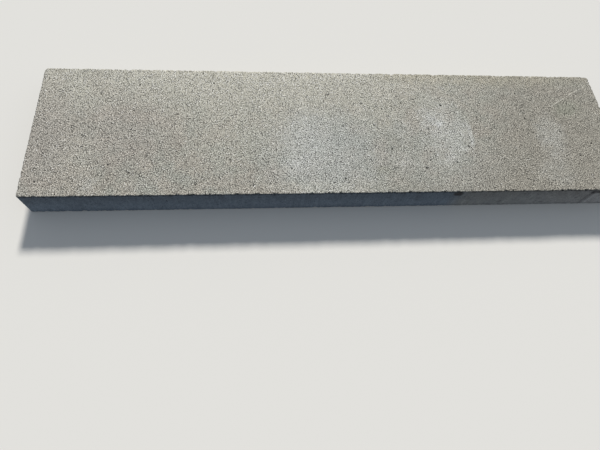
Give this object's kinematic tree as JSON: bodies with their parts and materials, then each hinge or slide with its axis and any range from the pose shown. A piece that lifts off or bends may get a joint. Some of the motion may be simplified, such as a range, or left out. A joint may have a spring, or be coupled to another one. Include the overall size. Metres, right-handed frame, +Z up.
{
  "type": "concrete paving slab",
  "caption": "Long flat rectangular slab of pressed concrete with a granular top and sharp arrises, laid on a bed to pave a path or yard.",
  "frame": {"origin": "middle of the bedding face, the face the slab lies on", "axes": "+X along the length, +Y across the width, +Z up through the thickness to the walking face"},
  "size_m": [2, 0.5, 0.1],
  "materials": {
    "concrete": "matt granular pressed concrete"
  },
  "bodies": {
    "root": {"paving_slab": "concrete"}
  },
  "joints": []
}
